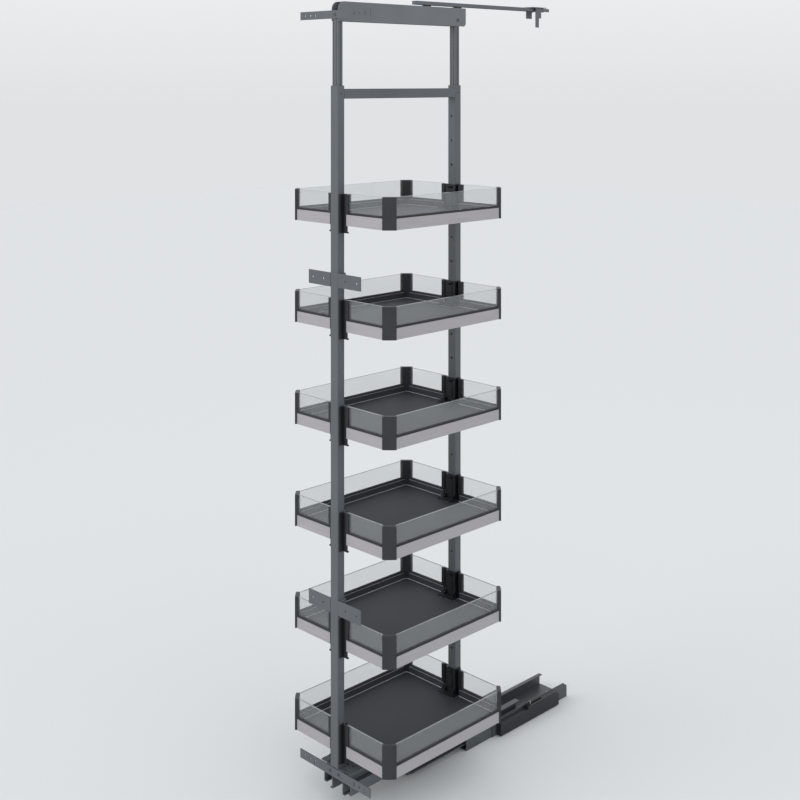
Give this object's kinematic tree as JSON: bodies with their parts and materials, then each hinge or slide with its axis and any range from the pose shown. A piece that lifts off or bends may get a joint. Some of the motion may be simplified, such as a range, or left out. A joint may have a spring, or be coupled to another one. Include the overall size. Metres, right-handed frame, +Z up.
{
  "type": "pull out pantry frame",
  "caption": "Tall pull out pantry frame on a telescopic floor runner, with uprights, glass-sided trays that re-hang on holes, and a height-adjustable top guide.",
  "frame": {"origin": "middle of the four floor-fixing holes of the cabinet rail, on the rail's underside", "axes": "+Z up, +Y into the cabinet (the closing direction), +X to the right seen from the front; the frame is stored pulled out, towards -Y"},
  "size_m": [0.364, 0.8446, 1.9653],
  "materials": {
    "zinc_grey": "satin grey powder coat",
    "frame_grey": "satin anthracite powder coat",
    "post_dark": "satin near-black coat",
    "tray_rail": "satin anodised, warm grey",
    "pan_steel": "satin grey",
    "mat_grey": "matte with fine dots",
    "black_plastic": "fine matte",
    "clear_glass": "polished",
    "bright_steel": "zinc plated",
    "pale_plastic": "matte"
  },
  "bodies": {
    "root": {"base_rail": "zinc_grey", "damper_side_plate": "zinc_grey", "damper_housing": "black_plastic", "damper_cylinder": "bright_steel"},
    "lower_cages": {"lower_ball_cages": "bright_steel"},
    "middle": {"middle_rail": "zinc_grey"},
    "upper_cages": {"upper_ball_cages": "bright_steel"},
    "frame": {"carriage_rail": "frame_grey", "front_upright": "frame_grey", "rear_upright": "frame_grey", "cross_bar": "frame_grey", "upper_door_plate": "frame_grey", "lower_door_plate": "frame_grey", "bottom_front_plate": "frame_grey", "frame_screws": "bright_steel"},
    "top_section": {"front_inner_post": "post_dark", "rear_inner_post": "post_dark", "top_beam": "frame_grey", "top_front_plate": "frame_grey", "top_screws": "bright_steel", "top_guide_blocks": "black_plastic"},
    "top_bracket": {"top_rail_bracket": "post_dark"},
    "guide_rail": {"top_rail": "post_dark"},
    "catch": {"damper_catch": "black_plastic"},
    "tray_1": {"tray_1_rails": "tray_rail", "tray_1_pan": "pan_steel", "tray_1_lining": "mat_grey", "tray_1_posts": "black_plastic", "tray_1_glass": "clear_glass", "tray_1_clamps": "black_plastic"},
    "tray_2": {"tray_2_rails": "tray_rail", "tray_2_pan": "pan_steel", "tray_2_lining": "mat_grey", "tray_2_posts": "black_plastic", "tray_2_glass": "clear_glass", "tray_2_clamps": "black_plastic"},
    "tray_3": {"tray_3_rails": "tray_rail", "tray_3_pan": "pan_steel", "tray_3_lining": "mat_grey", "tray_3_posts": "black_plastic", "tray_3_glass": "clear_glass", "tray_3_clamps": "black_plastic"},
    "tray_4": {"tray_4_rails": "tray_rail", "tray_4_pan": "pan_steel", "tray_4_lining": "mat_grey", "tray_4_posts": "black_plastic", "tray_4_glass": "clear_glass", "tray_4_clamps": "black_plastic"},
    "tray_5": {"tray_5_rails": "tray_rail", "tray_5_pan": "pan_steel", "tray_5_lining": "mat_grey", "tray_5_posts": "black_plastic", "tray_5_glass": "clear_glass", "tray_5_clamps": "black_plastic"},
    "tray_6": {"tray_6_rails": "tray_rail", "tray_6_pan": "pan_steel", "tray_6_lining": "mat_grey", "tray_6_posts": "black_plastic", "tray_6_glass": "clear_glass", "tray_6_clamps": "black_plastic"}
  },
  "joints": [
    {"name": "runner_slide", "type": "slide", "parent": "root", "child": "middle", "axis": [0, 1, 0], "range_m": [0, 0.2]},
    {"name": "frame_slide", "type": "slide", "parent": "middle", "child": "frame", "axis": [0, 1, 0], "range_m": [0, 0.2]},
    {"name": "lower_cage_slide", "type": "slide", "parent": "root", "child": "lower_cages", "axis": [0, 1, 0], "range_m": [0, 0.1]},
    {"name": "upper_cage_slide", "type": "slide", "parent": "middle", "child": "upper_cages", "axis": [0, 1, 0], "range_m": [0, 0.1]},
    {"name": "damper_catch_slide", "type": "slide", "parent": "root", "child": "catch", "axis": [0, 1, 0], "range_m": [0, 0.05]},
    {"name": "top_height", "type": "slide", "parent": "frame", "child": "top_section", "axis": [0, 0, 1], "range_m": [-0.12, 0.08]},
    {"name": "top_bracket_height", "type": "slide", "parent": "root", "child": "top_bracket", "axis": [0, 0, 1], "range_m": [-0.12, 0.08]},
    {"name": "guide_rail_slide", "type": "slide", "parent": "top_bracket", "child": "guide_rail", "axis": [0, 1, 0], "range_m": [0, 0.13]},
    {"name": "tray_1_height", "type": "slide", "parent": "frame", "child": "tray_1", "axis": [0, 0, 1], "range_m": [-0.064, 0.064]},
    {"name": "tray_2_height", "type": "slide", "parent": "frame", "child": "tray_2", "axis": [0, 0, 1], "range_m": [-0.064, 0]},
    {"name": "tray_3_height", "type": "slide", "parent": "frame", "child": "tray_3", "axis": [0, 0, 1], "range_m": [-0.064, 0.064]},
    {"name": "tray_4_height", "type": "slide", "parent": "frame", "child": "tray_4", "axis": [0, 0, 1], "range_m": [-0.064, 0.064]},
    {"name": "tray_5_height", "type": "slide", "parent": "frame", "child": "tray_5", "axis": [0, 0, 1], "range_m": [-0.064, 0]},
    {"name": "tray_6_height", "type": "slide", "parent": "frame", "child": "tray_6", "axis": [0, 0, 1], "range_m": [0, 0.064]}
  ],
  "couplings": [
    {"joint": "frame_slide", "follows": "runner_slide", "ratio": 1},
    {"joint": "lower_cage_slide", "follows": "runner_slide", "ratio": 0.5},
    {"joint": "upper_cage_slide", "follows": "runner_slide", "ratio": 0.5},
    {"joint": "damper_catch_slide", "follows": "runner_slide", "ratio": 0.25},
    {"joint": "guide_rail_slide", "follows": "runner_slide", "ratio": 0.65},
    {"joint": "top_bracket_height", "follows": "top_height", "ratio": 1}
  ]
}
